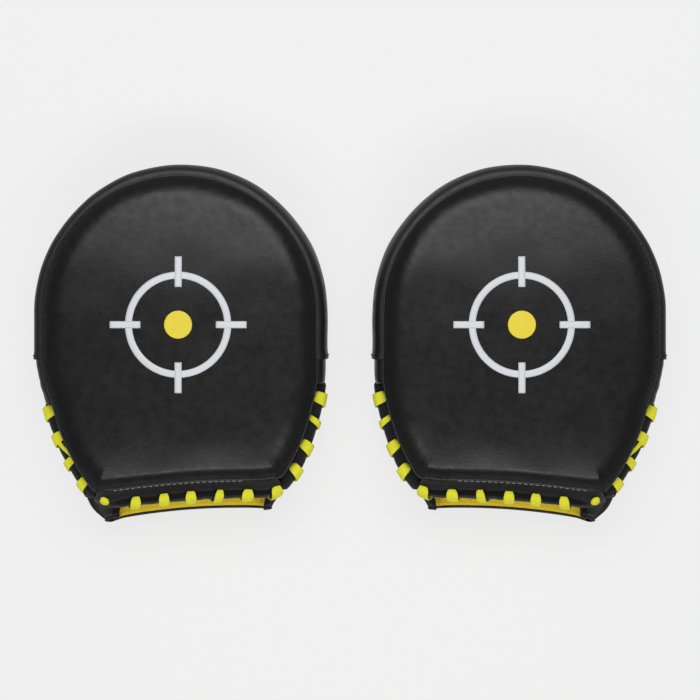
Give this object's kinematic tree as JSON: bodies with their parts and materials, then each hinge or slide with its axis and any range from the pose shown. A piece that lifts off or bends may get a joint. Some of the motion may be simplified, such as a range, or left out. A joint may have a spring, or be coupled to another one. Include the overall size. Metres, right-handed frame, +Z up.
{
  "type": "pair of boxing focus mitts",
  "caption": "Padded hand targets for boxing practice: crowned leather face, gusset, flat lacing round the wrist end, hand compartment and fold-back wrist strap",
  "frame": {"origin": "on the surface that the pair lies on, under the middle of the pair's bounding box", "axes": "+X across the pair, from the right-hand mitt to the left-hand mitt; +Y towards the fingertips; +Z up, out of the striking faces"},
  "size_m": [0.4544, 0.2616, 0.0789],
  "materials": {
    "face_leather": "black synthetic leather, fine grain, satin",
    "gusset_leather": "black synthetic leather, smooth, satin",
    "back_leather": "black synthetic leather, grained, semi-matt",
    "webbing": "black ribbed webbing",
    "lace": "neon yellow flat woven lace",
    "lining": "golden yellow woven lining",
    "print_white": "white screen-print ink",
    "print_yellow": "yellow screen-print ink",
    "thread": "dark bonded thread",
    "foam": "closed-cell foam",
    "board": "thin fibre board",
    "elastic": "black elastic webbing",
    "strap": "black woven strap webbing",
    "hook_and_loop": "black hook-and-loop tape",
    "rivet": "gloss black"
  },
  "bodies": {
    "right_mitt": {"right_face_cover": "face_leather", "right_target_print": "print_white", "right_seam_welt": "gusset_leather", "right_upper_gusset": "gusset_leather", "right_side_gussets": "gusset_leather", "right_lower_gusset": "gusset_leather", "right_lip_strip": "gusset_leather", "right_edge_bolster": "foam", "right_strike_foam": "foam", "right_core_foam": "foam", "right_backing_board": "board", "right_palm_panel": "back_leather", "right_palm_grip": "lining", "right_finger_band": "elastic", "right_thumb_loop": "elastic", "right_finger_hood": "back_leather", "right_hood_binding": "gusset_leather", "right_back_panel": "back_leather", "right_back_pad": "lining", "right_cuff_lining": "lining", "right_cuff_binding": "gusset_leather", "right_wrist_pad": "back_leather", "right_wrist_roll": "back_leather", "right_loop_patch": "hook_and_loop", "right_strap_anchor": "back_leather", "right_lace_binding": "webbing", "right_lace": "lace", "right_corner_rivet": "rivet"},
    "right_strap": {"right_wrist_strap": "strap", "right_hook_patch": "hook_and_loop"},
    "left_mitt": {"left_face_cover": "face_leather", "left_target_print": "print_white", "left_seam_welt": "gusset_leather", "left_upper_gusset": "gusset_leather", "left_side_gussets": "gusset_leather", "left_lower_gusset": "gusset_leather", "left_lip_strip": "gusset_leather", "left_edge_bolster": "foam", "left_strike_foam": "foam", "left_core_foam": "foam", "left_backing_board": "board", "left_palm_panel": "back_leather", "left_palm_grip": "lining", "left_finger_band": "elastic", "left_thumb_loop": "elastic", "left_finger_hood": "back_leather", "left_hood_binding": "gusset_leather", "left_back_panel": "back_leather", "left_back_pad": "lining", "left_cuff_lining": "lining", "left_cuff_binding": "gusset_leather", "left_wrist_pad": "back_leather", "left_wrist_roll": "back_leather", "left_loop_patch": "hook_and_loop", "left_strap_anchor": "back_leather", "left_lace_binding": "webbing", "left_lace": "lace", "left_corner_rivet": "rivet"},
    "left_strap": {"left_wrist_strap": "strap", "left_hook_patch": "hook_and_loop"}
  },
  "joints": [
    {"name": "left_mitt_lift", "type": "slide", "parent": "right_mitt", "child": "left_mitt", "axis": [0, 0, 1], "range_m": [0, 0.15]},
    {"name": "right_strap_fold", "type": "hinge", "parent": "right_mitt", "child": "right_strap", "pos_m": [-0.1712, -0.09019, 0.0026], "axis": [0, 1, 0], "range_deg": [0, 180]},
    {"name": "left_strap_fold", "type": "hinge", "parent": "left_mitt", "child": "left_strap", "pos_m": [0.1712, -0.09019, 0.0026], "axis": [0, -1, 0], "range_deg": [0, 180]}
  ]
}
